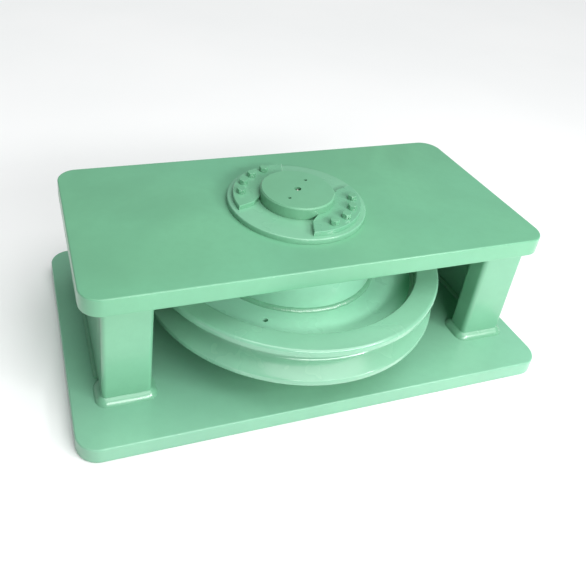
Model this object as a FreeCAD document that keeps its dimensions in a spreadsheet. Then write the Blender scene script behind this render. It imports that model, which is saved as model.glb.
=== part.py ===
import FreeCAD, Part
import Sketcher
import math
import os
import re

# Deck fairlead: one grooved sheave that turns about an upright pin between a
# base plate and a top plate, with a rectangular post near each plate corner and
# a side plate between the front and the rear post at each end.
# +Z is up, +X runs along the plates' long side, the underside of the base
# plate is z = 0 and the pin's axis is x = y = 0.

V = FreeCAD.Vector
doc = FreeCAD.newDocument("fairlead_chock")

# ---------------------------------------------------------------- dimensions
SIZES = [
    ("base_len", 1040), ("base_wid", 624), ("base_thk", 35), ("base_corner", 46),
    ("top_len", 1000), ("top_wid", 466), ("top_thk", 40), ("top_corner", 44),
    ("plate_edge", 3), ("gap_height", 246),
    ("post_wide", 100), ("post_deep", 50), ("post_wall", 8), ("post_round", 10),
    ("post_cx_left", 410), ("post_cx_right", 427), ("post_cy", 181), ("post_weld", 13),
    ("side_thk", 20), ("side_snipe", 15), ("side_weld", 8),
    ("sheave_z", 163), ("rim_outer", 338), ("rim_inner", 288), ("rim_width", 92),
    ("groove_mouth", 31.5), ("groove_flank", 35.32), ("groove_radius", 12), ("rim_edge", 4), ("rim_inner_edge", 3),
    ("web_thk", 30), ("web_hole_r", 6), ("web_hole_pcr", 233), ("web_hole_dir", -123.3),
    ("hub_outer", 190), ("hub_bore", 97.52), ("hub_low", 60.05), ("hub_high", 265.55),
    ("hub_edge", 5), ("ring_weld", 8), ("ring_gap", 0.05),
    ("seal_in", 121), ("seal_out", 129), ("seal_depth", 4.5),
    ("bush_inner", 82.56), ("bush_outer", 97.5), ("bush_long", 94),
    ("washer_inner", 82.6), ("washer_outer", 118), ("washer_thk", 8),
    ("pin_radius", 82.5), ("pin_low", 4), ("pin_high", 360), ("pin_edge", 3), ("pin_foot_edge", 6),
    ("slot_floor", 67), ("slot_play", 0.1),
    ("grease_drill_r", 5), ("grease_sink_r", 8), ("grease_sink_deep", 15), ("grease_end_z", 106),
    ("cross_drill_r", 4), ("cross_low_z", 112), ("cross_high_z", 214),
    ("eye_hole_r", 4), ("eye_hole_pcr", 46), ("eye_hole_deep", 24), ("eye_hole_dir", 45),
    ("boss_bore", 82.55), ("boss_flange_r", 154), ("boss_flange_thk", 12), ("boss_edge", 2.5),
    ("boss_spigot_r", 108), ("plate_bore", 108.05),
    ("collar_r", 130), ("lower_collar_high", 52), ("upper_collar_low", 274), ("boss_weld", 7),
    ("keeper_outer", 142), ("keeper_chord", 67.3), ("keeper_half_in", 77), ("keeper_half_out", 113.5),
    ("keeper_thk", 10), ("keeper_dir", 135), ("keeper_pcr", 123.5), ("keeper_step", 9.5),
    ("keeper_hole_r", 6.75), ("keeper_edge", 1.2),
    ("bolt_r", 6), ("bolt_long", 40), ("bolt_flats", 18), ("bolt_head", 7.5), ("bolt_tap_r", 6.05),
    ("bolt_tap_deep", 40), ("lock_outer", 10.25), ("lock_inner", 6.2), ("lock_thk", 2.5),
    ("nipple_flats", 11), ("nipple_hex", 5), ("nipple_r", 4.95),
]
sheet = doc.addObject("Spreadsheet::Sheet", "Sheet")
for row, (alias, value) in enumerate(SIZES, start=1):
    sheet.set("A%d" % row, alias)
    sheet.set("B%d" % row, str(value))
    sheet.setAlias("B%d" % row, alias)
doc.recompute()

NAMES = [a for a, _ in SIZES]
WORD = re.compile(r"\b(" + "|".join(sorted(NAMES, key=len, reverse=True)) + r")\b")


def ex(text):
    """An expression on the sheet's aliases, written for setExpression."""
    return WORD.sub(r"Sheet.\1", str(text))


def num(text):
    value = sheet.evalExpression(ex(text))
    return float(getattr(value, "Value", value))


# ------------------------------------------------------------------- helpers
def new_body(label):
    body = doc.addObject("PartDesign::Body", label)
    body.Label = label
    return body


def new_sketch(body, name, role, lift=None):
    sk = body.newObject("Sketcher::SketchObject", name)
    plane = [f for f in body.Origin.OriginFeatures if f.Role == role][0]
    sk.AttachmentSupport = [(plane, "")]
    sk.MapMode = "FlatFace"
    if lift is not None:
        sk.setExpression("AttachmentOffset.Base.z", ex(lift))
    return sk


def pin_point(sk, geo, pos, xe, ye):
    """Tie one point of a sketch to two sheet expressions."""
    if abs(num(xe)) < 1e-9:
        sk.addConstraint(Sketcher.Constraint("PointOnObject", geo, pos, -2))
    else:
        i = sk.addConstraint(Sketcher.Constraint("DistanceX", -1, 1, geo, pos, num(xe)))
        sk.setExpression("Constraints[%d]" % i, ex(xe))
    if abs(num(ye)) < 1e-9:
        sk.addConstraint(Sketcher.Constraint("PointOnObject", geo, pos, -1))
    else:
        i = sk.addConstraint(Sketcher.Constraint("DistanceY", -1, 1, geo, pos, num(ye)))
        sk.setExpression("Constraints[%d]" % i, ex(ye))


def outline(sk, points, arcs=None):
    """Closed outline through the points; arcs maps an edge number to
    (centre x, centre y, radius, counter-clockwise)."""
    arcs = arcs or {}
    n = len(points)
    xy = [(num(a), num(b)) for a, b in points]
    ends = []
    for i in range(n):
        a, b = xy[i], xy[(i + 1) % n]
        if i in arcs:
            cx, cy, rr, ccw = arcs[i]
            c = (num(cx), num(cy))
            t0 = math.atan2(a[1] - c[1], a[0] - c[0])
            t1 = math.atan2(b[1] - c[1], b[0] - c[0])
            circle = Part.Circle(V(c[0], c[1], 0), V(0, 0, 1), num(rr))
            if ccw:
                if t1 < t0:
                    t1 += 2 * math.pi
                sk.addGeometry(Part.ArcOfCircle(circle, t0, t1), False)
                ends.append((1, 2))
            else:
                if t0 < t1:
                    t0 += 2 * math.pi
                sk.addGeometry(Part.ArcOfCircle(circle, t1, t0), False)
                ends.append((2, 1))
        else:
            sk.addGeometry(Part.LineSegment(V(a[0], a[1], 0), V(b[0], b[1], 0)), False)
            ends.append((1, 2))
    for i in range(n):
        j = (i + 1) % n
        sk.addConstraint(Sketcher.Constraint("Coincident", i, ends[i][1], j, ends[j][0]))
    for i, (xe, ye) in enumerate(points):
        pin_point(sk, i, ends[i][0], xe, ye)
    for i, (cx, cy, rr, ccw) in arcs.items():
        # both ends are tied already, so the centre's x settles the radius
        if abs(num(cx)) < 1e-9:
            sk.addConstraint(Sketcher.Constraint("PointOnObject", i, 3, -2))
        else:
            k = sk.addConstraint(Sketcher.Constraint("DistanceX", -1, 1, i, 3, num(cx)))
            sk.setExpression("Constraints[%d]" % k, ex(cx))


def rings(sk, circles):
    for i, (xe, ye, re_) in enumerate(circles):
        sk.addGeometry(Part.Circle(V(num(xe), num(ye), 0), V(0, 0, 1), num(re_)), False)
        pin_point(sk, i, 3, xe, ye)
        k = sk.addConstraint(Sketcher.Constraint("Radius", i, num(re_)))
        sk.setExpression("Constraints[%d]" % k, ex(re_))


def box_outline(sk, wx, wy):
    outline(sk, [("-(%s)/2" % wx, "-(%s)/2" % wy), ("(%s)/2" % wx, "-(%s)/2" % wy),
                 ("(%s)/2" % wx, "(%s)/2" % wy), ("-(%s)/2" % wx, "(%s)/2" % wy)])


def pad(body, sk, name, length):
    f = body.newObject("PartDesign::Pad", name)
    f.Profile = sk
    f.setExpression("Length", ex(length))
    sk.Visibility = False
    doc.recompute()
    return f


def cut(body, sk, name, length, reverse=True, both=False):
    """Pocket that must take material away."""
    before = body.Shape.Volume
    f = body.newObject("PartDesign::Pocket", name)
    f.Profile = sk
    f.Type = 0
    if both:
        f.Midplane = True
    else:
        f.Reversed = reverse
    f.setExpression("Length", ex(length))
    sk.Visibility = False
    doc.recompute()
    if not body.Shape.Volume < before - 1e-3:
        raise RuntimeError("%s takes nothing away" % name)
    return f


def turn(body, sk, name):
    f = body.newObject("PartDesign::Revolution", name)
    f.Profile = sk
    f.ReferenceAxis = (sk, ["V_Axis"])
    f.Angle = 360.0
    sk.Visibility = False
    doc.recompute()
    return f


def pick(shape, test):
    return ["Edge%d" % (i + 1) for i, e in enumerate(shape.Edges) if test(e)]


def round_edges(body, name, test, radius):
    base = body.Tip
    f = body.newObject("PartDesign::Fillet", name)
    f.Base = (base, pick(base.Shape, test))
    f.setExpression("Radius", ex(radius))
    doc.recompute()
    return f


def bevel_edges(body, name, test, size):
    base = body.Tip
    f = body.newObject("PartDesign::Chamfer", name)
    f.Base = (base, pick(base.Shape, test))
    f.setExpression("Size", ex(size))
    doc.recompute()
    return f


def upright(e):
    """A straight edge along Z."""
    if e.Curve.TypeId != "Part::GeomLine":
        return False
    a, b = e.Vertexes[0].Point, e.Vertexes[-1].Point
    return abs(a.x - b.x) < 1e-6 and abs(a.y - b.y) < 1e-6 and abs(a.z - b.z) > 1e-3


def level(e, z):
    bb = e.BoundBox
    return abs(bb.ZMin - z) < 1e-4 and abs(bb.ZMax - z) < 1e-4


def round_at(e, radius, z):
    """A circular edge of this radius about the pin's axis, at height z."""
    return (e.Curve.TypeId == "Part::GeomCircle" and abs(e.Curve.Radius - radius) < 1e-4
            and math.hypot(e.Curve.Center.x, e.Curve.Center.y) < 1e-4 and level(e, z))


def ring_body(label, points, arcs=None):
    """A turned piece from an outline in the plane y = 0."""
    body = new_body(label)
    sk = new_sketch(body, label + "_profile", "XZ_Plane")
    outline(sk, points, arcs)
    turn(body, sk, label + "_turned")
    return body


def plain_ring(label, r_in, r_out, z_low, z_high):
    return ring_body(label, [(r_in, z_low), (r_out, z_low), (r_out, z_high), (r_in, z_high)])


PARTS = []


def keep(obj):
    PARTS.append(obj)
    return obj


TOP_LOW = "base_thk+gap_height"
TOP_HIGH = "base_thk+gap_height+top_thk"
BOSS_HIGH = TOP_HIGH + "+boss_flange_thk"
KEEPER_HIGH = BOSS_HIGH + "+keeper_thk"

# The eight keeper bolts stand on one circle, four each side of the pin.
BOLT_ANGLES = ["keeper_dir+%s*keeper_step" % k for k in ("180-3", "-3", "-1", "1", "3")][1:]
BOLT_ANGLES = BOLT_ANGLES + ["180+" + a for a in BOLT_ANGLES]
BOLT_XY = [("keeper_pcr*cos((%s)*1deg)" % a, "keeper_pcr*sin((%s)*1deg)" % a) for a in BOLT_ANGLES]

# -------------------------------------------------------------------- plates
b = new_body("base_plate")
s = new_sketch(b, "base_outline", "XY_Plane")
box_outline(s, "base_len", "base_wid")
pad(b, s, "base_pad", "base_thk")
round_edges(b, "base_corners", upright, "base_corner")
s = new_sketch(b, "base_bore_sketch", "XY_Plane")
rings(s, [("0", "0", "plate_bore")])
cut(b, s, "base_bore", "base_thk")
Z = num("base_thk")
round_edges(b, "base_rounding",
            lambda e: level(e, Z) and not round_at(e, num("plate_bore"), Z), "plate_edge")
bevel_edges(b, "base_underside",
            lambda e: level(e, 0) and not round_at(e, num("plate_bore"), 0), "1")
keep(b)

b = new_body("top_plate")
s = new_sketch(b, "top_outline", "XY_Plane", TOP_LOW)
box_outline(s, "top_len", "top_wid")
pad(b, s, "top_pad", "top_thk")
round_edges(b, "top_corners", upright, "top_corner")
s = new_sketch(b, "top_bore_sketch", "XY_Plane", TOP_LOW)
rings(s, [("0", "0", "plate_bore")])
cut(b, s, "top_bore", "top_thk")
s = new_sketch(b, "top_tap_sketch", "XY_Plane", BOSS_HIGH + "-bolt_tap_deep")
rings(s, [(x, y, "bolt_tap_r") for x, y in BOLT_XY])
cut(b, s, "top_taps", "bolt_tap_deep")
ZT, ZB = num(TOP_HIGH), num(TOP_LOW)
round_edges(b, "top_rounding",
            lambda e: (level(e, ZT) or level(e, ZB)) and math.hypot(e.CenterOfMass.x, e.CenterOfMass.y) > 160,
            "plate_edge")
keep(b)

# --------------------------------------------------------------------- posts
# Rectangular hollow section, stood upright, wide face to the front.
for label, cx_, sy in (("post_front_left", "-post_cx_left", "-1"), ("post_front_right", "post_cx_right", "-1"),
                       ("post_rear_left", "-post_cx_left", "1"), ("post_rear_right", "post_cx_right", "1")):
    b = new_body(label)
    s = new_sketch(b, label + "_outline", "XY_Plane")
    box_outline(s, "post_wide", "post_deep")
    pad(b, s, label + "_pad", "gap_height")
    round_edges(b, label + "_corners", upright, "post_round")
    s = new_sketch(b, label + "_inside", "XY_Plane")
    box_outline(s, "post_wide-2*post_wall", "post_deep-2*post_wall")
    cut(b, s, label + "_hollow", "gap_height")
    lim = num("post_wide/2-post_wall") + 0.01
    round_edges(b, label + "_inner_corners",
                lambda e: upright(e) and abs(e.CenterOfMass.x) < lim
                and abs(e.CenterOfMass.y) < num("post_deep/2-post_wall") + 0.01, "post_round-post_wall/2-1")
    b.setExpression("Placement.Base.x", ex(cx_))
    b.setExpression("Placement.Base.y", ex(sy + "*post_cy"))
    b.setExpression("Placement.Base.z", ex("base_thk"))
    doc.recompute()
    keep(b)


# All-round fillet welds at the posts' feet and heads, one closed seam a post.
def post_seams(label, z, up):
    leg, wide, deep, rr = num("post_weld"), num("post_wide"), num("post_deep"), num("post_round")
    seams = []
    for cx_ in (-num("post_cx_left"), num("post_cx_right")):
        for sy in (-1, 1):
            block = Part.makeBox(wide + 2 * leg, deep + 2 * leg, leg, V(-wide / 2 - leg, -deep / 2 - leg, 0))
            block = block.makeFillet(rr + leg, [e for e in block.Edges if upright(e)])
            block = block.makeChamfer(leg - 0.4, [e for e in block.Edges if level(e, leg)])
            g = 0.03
            core = Part.makeBox(wide + 2 * g, deep + 2 * g, leg, V(-wide / 2 - g, -deep / 2 - g, 0))
            core = core.makeFillet(rr + g, [e for e in core.Edges if upright(e)])
            seam = block.cut(core)
            if not up:
                seam.rotate(V(0, 0, 0), V(1, 0, 0), 180)
            seam.translate(V(cx_, sy * num("post_cy"), z))
            seams.append(seam.Solids[0])
    f = doc.addObject("Part::Feature", label)
    f.Label = label
    f.Shape = Part.makeCompound(seams)
    f.Placement = FreeCAD.Placement()
    return keep(f)


post_seams("post_foot_welds", num("base_thk"), True)
post_seams("post_head_welds", num(TOP_LOW), False)

# --------------------------------------------------------------- side plates
# One upright plate at each end, between the front and the rear post and flush
# with their outer faces; its corners are snipped clear of the posts' seams.
SIDE_HALF = "post_cy-post_deep/2"
for label, x_ in (("side_plate_left", "-post_cx_left-post_wide/2"),
                  ("side_plate_right", "post_cx_right+post_wide/2-side_thk")):
    b = new_body(label)
    s = new_sketch(b, label + "_outline", "YZ_Plane")
    outline(s, [("-(%s)+side_snipe" % SIDE_HALF, "0"), (SIDE_HALF + "-side_snipe", "0"),
                (SIDE_HALF, "side_snipe"), (SIDE_HALF, "gap_height-side_snipe"),
                (SIDE_HALF + "-side_snipe", "gap_height"), ("-(%s)+side_snipe" % SIDE_HALF, "gap_height"),
                ("-(%s)" % SIDE_HALF, "gap_height-side_snipe"), ("-(%s)" % SIDE_HALF, "side_snipe")])
    pad(b, s, label + "_pad", "side_thk")
    b.setExpression("Placement.Base.x", ex(x_))
    b.setExpression("Placement.Base.z", ex("base_thk"))
    doc.recompute()
    keep(b)


# The side plates' seams: fillets inside and outside at foot and head, upright
# fillets to the posts inside, and the filled groove at the posts' round corners.
def side_seams(label):
    leg, thk, hy, g = num("side_weld"), num("side_thk"), num(SIDE_HALF), 0.03
    rr, zl, zh = num("post_round"), num("base_thk"), num(TOP_LOW)
    run = hy - num("side_snipe") - 1
    z0, z1 = zl + num("post_weld") + 2, zh - num("post_weld") - 2

    def prism(points, run_):
        face = Part.Face(Part.makePolygon([V(*p) for p in points] + [V(*points[0])]))
        return face.extrude(V(*run_))

    seams = []
    for out, face_x in ((-1, -num("post_cx_left+post_wide/2")), (1, num("post_cx_right+post_wide/2"))):
        inner_x = face_x - out * thk
        for x, d in ((face_x + out * g, out), (inner_x - out * g, -out)):
            for z, up in ((zl, 1), (zh, -1)):
                seams.append(prism([(x, -run, z), (x + d * leg, -run, z), (x, -run, z + up * leg)], (0, 2 * run, 0)))
        for sy in (-1, 1):
            x, y = inner_x - out * g, sy * (hy - g)
            seams.append(prism([(x, y, z0), (x - out * leg, y, z0), (x, y - sy * leg, z0)], (0, 0, z1 - z0)))
            lo_x, hi_x = sorted((face_x, face_x - out * 0.75 * rr))
            lo_y, hi_y = sorted((sy * (hy + g), sy * (hy + 0.85 * rr)))
            block = Part.makeBox(hi_x - lo_x, hi_y - lo_y, z1 - z0, V(lo_x, lo_y, z0))
            tube = Part.makeCylinder(rr + g, z1 - z0, V(face_x - out * rr, sy * (hy + rr), z0))
            seams.append(block.cut(tube).Solids[0])
    f = doc.addObject("Part::Feature", label)
    f.Label = label
    f.Shape = Part.makeCompound(seams)
    f.Placement = FreeCAD.Placement()
    return keep(f)


side_seams("side_plate_welds")

# -------------------------------------------------------------------- bosses
b = ring_body("upper_boss", [
    ("boss_bore", TOP_LOW), ("boss_spigot_r", TOP_LOW), ("boss_spigot_r", TOP_HIGH),
    ("boss_flange_r", TOP_HIGH), ("boss_flange_r", BOSS_HIGH), ("boss_bore", BOSS_HIGH)])
ZF = num(BOSS_HIGH)
round_edges(b, "upper_boss_rounding", lambda e: round_at(e, num("boss_flange_r"), ZF), "boss_edge")
s = new_sketch(b, "upper_boss_taps_sketch", "XY_Plane", TOP_HIGH)
rings(s, [(x, y, "bolt_tap_r") for x, y in BOLT_XY])
cut(b, s, "upper_boss_taps", "boss_flange_thk")
keep(b)

b = plain_ring("upper_distance_ring", "boss_bore", "collar_r", "upper_collar_low", TOP_LOW)
keep(b)

b = ring_body("lower_boss", [
    ("boss_bore", "0.5"), ("boss_spigot_r", "0.5"), ("boss_spigot_r", "base_thk"),
    ("collar_r", "base_thk"), ("collar_r", "lower_collar_high"), ("boss_bore", "lower_collar_high")])
keep(b)

keep(ring_body("lower_boss_weld", [
    ("collar_r+ring_gap", "base_thk"), ("collar_r+boss_weld", "base_thk"), ("collar_r+ring_gap", "base_thk+boss_weld")]))
keep(ring_body("upper_boss_weld", [
    ("collar_r+ring_gap", TOP_LOW), ("collar_r+ring_gap", TOP_LOW + "-boss_weld+1"), ("collar_r+boss_weld-1", TOP_LOW)]))

# ----------------------------------------------------------------------- pin
b = ring_body("main_pin", [
    ("0", "pin_low"), ("pin_radius-pin_foot_edge", "pin_low"), ("pin_radius", "pin_low+pin_foot_edge"),
    ("pin_radius", "pin_high-pin_edge"), ("pin_radius-pin_edge", "pin_high"), ("0", "pin_high")])
# Two straight slots, one each side, take the keepers.
for k, side in enumerate(("", "180+")):
    c_, s_ = "cos((%skeeper_dir)*1deg)" % side, "sin((%skeeper_dir)*1deg)" % side
    s = new_sketch(b, "slot_sketch_%d" % (k + 1), "XY_Plane", BOSS_HIGH + "-slot_play")
    pts = []
    for d, t in (("slot_floor", "-100"), ("100", "-100"), ("100", "100"), ("slot_floor", "100")):
        pts.append(("(%s)*%s-(%s)*%s" % (d, c_, t, s_), "(%s)*%s+(%s)*%s" % (d, s_, t, c_)))
    outline(s, pts)
    cut(b, s, "slot_%d" % (k + 1), "keeper_thk+2*slot_play")
s = new_sketch(b, "grease_sink_sketch", "XY_Plane", "pin_high-grease_sink_deep")
rings(s, [("0", "0", "grease_sink_r")])
cut(b, s, "grease_sink", "grease_sink_deep")
s = new_sketch(b, "grease_drill_sketch", "XY_Plane", "grease_end_z")
rings(s, [("0", "0", "grease_drill_r")])
cut(b, s, "grease_drill", "pin_high-grease_sink_deep-grease_end_z")
s = new_sketch(b, "eye_holes_sketch", "XY_Plane", "pin_high-eye_hole_deep")
rings(s, [("eye_hole_pcr*cos(eye_hole_dir*1deg)", "eye_hole_pcr*sin(eye_hole_dir*1deg)", "eye_hole_r"),
          ("-eye_hole_pcr*cos(eye_hole_dir*1deg)", "-eye_hole_pcr*sin(eye_hole_dir*1deg)", "eye_hole_r")])
cut(b, s, "eye_holes", "eye_hole_deep")
s = new_sketch(b, "cross_drill_sketch", "YZ_Plane")
rings(s, [("0", "cross_low_z", "cross_drill_r"), ("0", "cross_high_z", "cross_drill_r")])
cut(b, s, "cross_drill", "2*pin_radius+2", both=True)
keep(b)

# Grease nipple: hexagon and ball head, in the counterbore at the pin's centre.
ZN = "pin_high-grease_sink_deep"
b = ring_body("grease_nipple", [
    ("0", ZN + "-9"), ("nipple_r", ZN + "-9"), ("nipple_r", ZN), ("nipple_flats/2", ZN),
    ("nipple_flats/2", ZN + "+nipple_hex"), ("2.6", ZN + "+nipple_hex"), ("2.2", ZN + "+nipple_hex+2.5"),
    ("3.2", ZN + "+nipple_hex+4"), ("3.2", ZN + "+nipple_hex+5.5"), ("1.6", ZN + "+nipple_hex+7.5"),
    ("0", ZN + "+nipple_hex+7.5")])
s = new_sketch(b, "nipple_hex_sketch", "XY_Plane", ZN)
outline(s, [("nipple_flats/sqrt(3)*cos(%d deg)" % a, "nipple_flats/sqrt(3)*sin(%d deg)" % a)
            for a in (15, 75, 135, 195, 255, 315)])
pad(b, s, "nipple_hex", "nipple_hex")
keep(b)

# ------------------------------------------------------------------- keepers
for label, turn_by in (("keeper_plate_left", "keeper_dir"), ("keeper_plate_right", "keeper_dir-180")):
    b = new_body(label)
    s = new_sketch(b, label + "_outline", "XY_Plane", BOSS_HIGH)
    out_d = "sqrt(keeper_outer^2-keeper_half_out^2)"
    outline(s, [("keeper_chord", "-keeper_half_in"), (out_d, "-keeper_half_out"),
                (out_d, "keeper_half_out"), ("keeper_chord", "keeper_half_in")],
            {1: ("0", "0", "keeper_outer", True)})
    pad(b, s, label + "_pad", "keeper_thk")
    s = new_sketch(b, label + "_holes_sketch", "XY_Plane", BOSS_HIGH)
    rings(s, [("keeper_pcr*cos(%d*keeper_step*1deg)" % k, "keeper_pcr*sin(%d*keeper_step*1deg)" % k, "keeper_hole_r")
              for k in (-3, -1, 1, 3)])
    cut(b, s, label + "_holes", "keeper_thk")
    ZK = num(KEEPER_HIGH)
    bevel_edges(b, label + "_edge",
                lambda e: level(e, ZK) and not (e.Curve.TypeId == "Part::GeomCircle" and e.Curve.Radius < 20),
                "keeper_edge")
    b.setExpression("Placement.Rotation.Angle", ex("(%s)*1deg" % turn_by))
    b.Placement = FreeCAD.Placement(V(0, 0, 0), FreeCAD.Rotation(V(0, 0, 1), num(turn_by)))
    doc.recompute()
    keep(b)


# Eight hexagon bolts and eight spring lock washers.
def bolt_shape():
    flats, head, rr, long_ = num("bolt_flats"), num("bolt_head"), num("bolt_r"), num("bolt_long")
    across = flats / math.sqrt(3)
    pts = [V(across * math.cos(math.radians(60 * i)), across * math.sin(math.radians(60 * i)), 0) for i in range(7)]
    hexa = Part.Face(Part.makePolygon(pts)).extrude(V(0, 0, head))
    crown = Part.makeCone(flats / 2 * 0.95 + head * math.tan(math.radians(60)), flats / 2 * 0.95, head)
    shank = Part.makeCylinder(rr, long_ - 1.2, V(0, 0, -(long_ - 1.2)))
    tip = Part.makeCone(rr - 1.2, rr, 1.2, V(0, 0, -long_))
    return hexa.common(crown).fuse([shank, tip]).removeSplitter()


def lock_shape():
    rr, ri, thk = num("lock_outer"), num("lock_inner"), num("lock_thk")
    ring = Part.makeCylinder(rr, thk).cut(Part.makeCylinder(ri, thk))
    slit = Part.makeBox(rr + 2, 0.9, thk * 3, V(0, -0.45, -thk))
    slit.rotate(V(0, 0, 0), V(1, 0, 0), 25)
    return ring.cut(slit)


seat = num(KEEPER_HIGH)
angles = [num(a) for a in BOLT_ANGLES]
twist = [7, 22, 41, 15, 52, 33, 3, 27]
for label, make, z, skew in (("keeper_lock_washers", lock_shape, seat, 40),
                             ("keeper_bolts", bolt_shape, seat + num("lock_thk"), 0)):
    copies = []
    for a, tw in zip(angles, twist):
        piece = make()
        piece.rotate(V(0, 0, 0), V(0, 0, 1), tw * (1 if not skew else 7) + skew)
        piece.translate(V(num("keeper_pcr") * math.cos(math.radians(a)),
                          num("keeper_pcr") * math.sin(math.radians(a)), z))
        copies.append(piece.Solids[0])
    f = doc.addObject("Part::Feature", label)
    f.Label = label
    f.Shape = Part.makeCompound(copies)
    f.Placement = FreeCAD.Placement()
    keep(f)

# ------------------------------------------------------------ thrust washers
keep(plain_ring("thrust_washer_lower", "washer_inner", "washer_outer",
                "lower_collar_high", "lower_collar_high+washer_thk"))
keep(plain_ring("thrust_washer_upper", "washer_inner", "washer_outer",
                "upper_collar_low-washer_thk", "upper_collar_low"))

# -------------------------------------------------------------------- sheave
# V groove: straight flanks at groove_flank from the mid-plane, rounded bottom.
GROOVE_C = "rim_outer-groove_mouth/tan(groove_flank*1deg)+groove_radius/sin(groove_flank*1deg)"
FLANK_R = "(%s)-groove_radius*sin(groove_flank*1deg)" % GROOVE_C
FLANK_Z = "groove_radius*cos(groove_flank*1deg)"
b = ring_body("sheave_rim", [
    ("rim_inner", "sheave_z-rim_width/2"), ("rim_outer", "sheave_z-rim_width/2"),
    ("rim_outer", "sheave_z-groove_mouth"), (FLANK_R, "sheave_z-(%s)" % FLANK_Z),
    (FLANK_R, "sheave_z+%s" % FLANK_Z), ("rim_outer", "sheave_z+groove_mouth"),
    ("rim_outer", "sheave_z+rim_width/2"), ("rim_inner", "sheave_z+rim_width/2")],
    {3: (GROOVE_C, "sheave_z", "groove_radius", False)})
zr = [num("sheave_z-rim_width/2"), num("sheave_z+rim_width/2")]
zg = [num("sheave_z-groove_mouth"), num("sheave_z+groove_mouth")]
ro, ri = num("rim_outer"), num("rim_inner")
round_edges(b, "rim_lips", lambda e: any(round_at(e, ro, z) for z in zr + zg), "rim_edge")
round_edges(b, "rim_inside", lambda e: any(round_at(e, ri, z) for z in zr), "rim_inner_edge")
keep(b)

WEB_LOW, WEB_HIGH = "sheave_z-web_thk/2", "sheave_z+web_thk/2"
b = plain_ring("sheave_web", "hub_outer+ring_gap", "rim_inner-ring_gap", WEB_LOW, WEB_HIGH)
s = new_sketch(b, "web_holes_sketch", "XY_Plane", WEB_LOW)
rings(s, [("web_hole_pcr*cos(web_hole_dir*1deg)", "web_hole_pcr*sin(web_hole_dir*1deg)", "web_hole_r"),
          ("-web_hole_pcr*cos(web_hole_dir*1deg)", "-web_hole_pcr*sin(web_hole_dir*1deg)", "web_hole_r")])
cut(b, s, "web_holes", "web_thk")
keep(b)

b = ring_body("sheave_hub", [
    ("hub_bore", "hub_low"), ("seal_in", "hub_low"), ("seal_in", "hub_low+seal_depth"),
    ("seal_out", "hub_low+seal_depth"), ("seal_out", "hub_low"), ("hub_outer", "hub_low"),
    ("hub_outer", "hub_high"), ("seal_out", "hub_high"), ("seal_out", "hub_high-seal_depth"),
    ("seal_in", "hub_high-seal_depth"), ("seal_in", "hub_high"), ("hub_bore", "hub_high")])
ho, hz = num("hub_outer"), [num("hub_low"), num("hub_high")]
bevel_edges(b, "hub_rims", lambda e: any(round_at(e, ho, z) for z in hz), "hub_edge")
keep(b)

for label, r_, z_, dr, dz in (
        ("hub_weld_upper", "hub_outer+ring_gap", WEB_HIGH, "ring_weld", "ring_weld"),
        ("hub_weld_lower", "hub_outer+ring_gap", WEB_LOW, "ring_weld", "-ring_weld"),
        ("rim_weld_upper", "rim_inner-ring_gap", WEB_HIGH, "-ring_weld", "ring_weld"),
        ("rim_weld_lower", "rim_inner-ring_gap", WEB_LOW, "-ring_weld", "-ring_weld")):
    keep(ring_body(label, [(r_, z_), ("%s+(%s)" % (r_, dr), z_), (r_, "%s+(%s)" % (z_, dz))]))

keep(plain_ring("bush_lower", "bush_inner", "bush_outer", "hub_low", "hub_low+bush_long"))
keep(plain_ring("bush_upper", "bush_inner", "bush_outer", "hub_high-bush_long", "hub_high"))

keep(plain_ring("dust_seal_lower", "seal_in+ring_gap", "seal_out-ring_gap",
                "lower_collar_high+ring_gap", "hub_low+seal_depth-ring_gap"))
keep(plain_ring("dust_seal_upper", "seal_in+ring_gap", "seal_out-ring_gap",
                "hub_high-seal_depth+ring_gap", "upper_collar_low-ring_gap"))

# ----------------------------------------------------------- check and write
doc.recompute()
bad = []
for obj in doc.Objects:
    if any(w in obj.State for w in ("Invalid", "Error")):
        bad.append("%s %s" % (obj.Name, obj.State))
for obj in PARTS:
    if obj.Shape.isNull() or not obj.Shape.isValid() or not obj.Shape.Solids:
        bad.append("%s has a bad shape" % obj.Label)
if bad:
    raise RuntimeError("; ".join(bad))

os.makedirs("parts", exist_ok=True)
for obj in PARTS:
    obj.Shape.exportStep("parts/%s.step" % obj.Label)
    bb = obj.Shape.BoundBox
    print("%-22s solids %d  volume %10.1f  x %.2f..%.2f  y %.2f..%.2f  z %.2f..%.2f" % (
        obj.Label, len(obj.Shape.Solids), obj.Shape.Volume, bb.XMin, bb.XMax, bb.YMin, bb.YMax, bb.ZMin, bb.ZMax))
print(len(PARTS), "parts")
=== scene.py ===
import math
import random

import bmesh
import bpy
from mathutils import Matrix, Vector, noise


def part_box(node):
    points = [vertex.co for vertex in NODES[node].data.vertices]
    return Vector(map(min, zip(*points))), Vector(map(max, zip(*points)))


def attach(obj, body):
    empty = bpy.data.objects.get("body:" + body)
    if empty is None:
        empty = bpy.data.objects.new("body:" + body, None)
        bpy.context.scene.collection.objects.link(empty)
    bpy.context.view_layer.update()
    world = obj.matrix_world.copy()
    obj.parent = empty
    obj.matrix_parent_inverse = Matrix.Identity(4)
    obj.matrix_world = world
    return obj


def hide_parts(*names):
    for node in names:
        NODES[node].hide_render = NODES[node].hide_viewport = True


# Deck fairlead, painted pale sea green all over.  Metres; +Z up, +X along the
# plates' long side, -Y to the front, underside of the base plate at z = 0.

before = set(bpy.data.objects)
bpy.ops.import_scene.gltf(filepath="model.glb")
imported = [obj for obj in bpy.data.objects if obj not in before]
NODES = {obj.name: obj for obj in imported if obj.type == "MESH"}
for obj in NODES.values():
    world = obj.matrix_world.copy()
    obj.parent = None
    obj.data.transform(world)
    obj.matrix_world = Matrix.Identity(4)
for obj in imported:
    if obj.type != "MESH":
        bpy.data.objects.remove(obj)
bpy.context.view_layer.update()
MM = 0.001
TAU = 2 * math.pi


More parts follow.
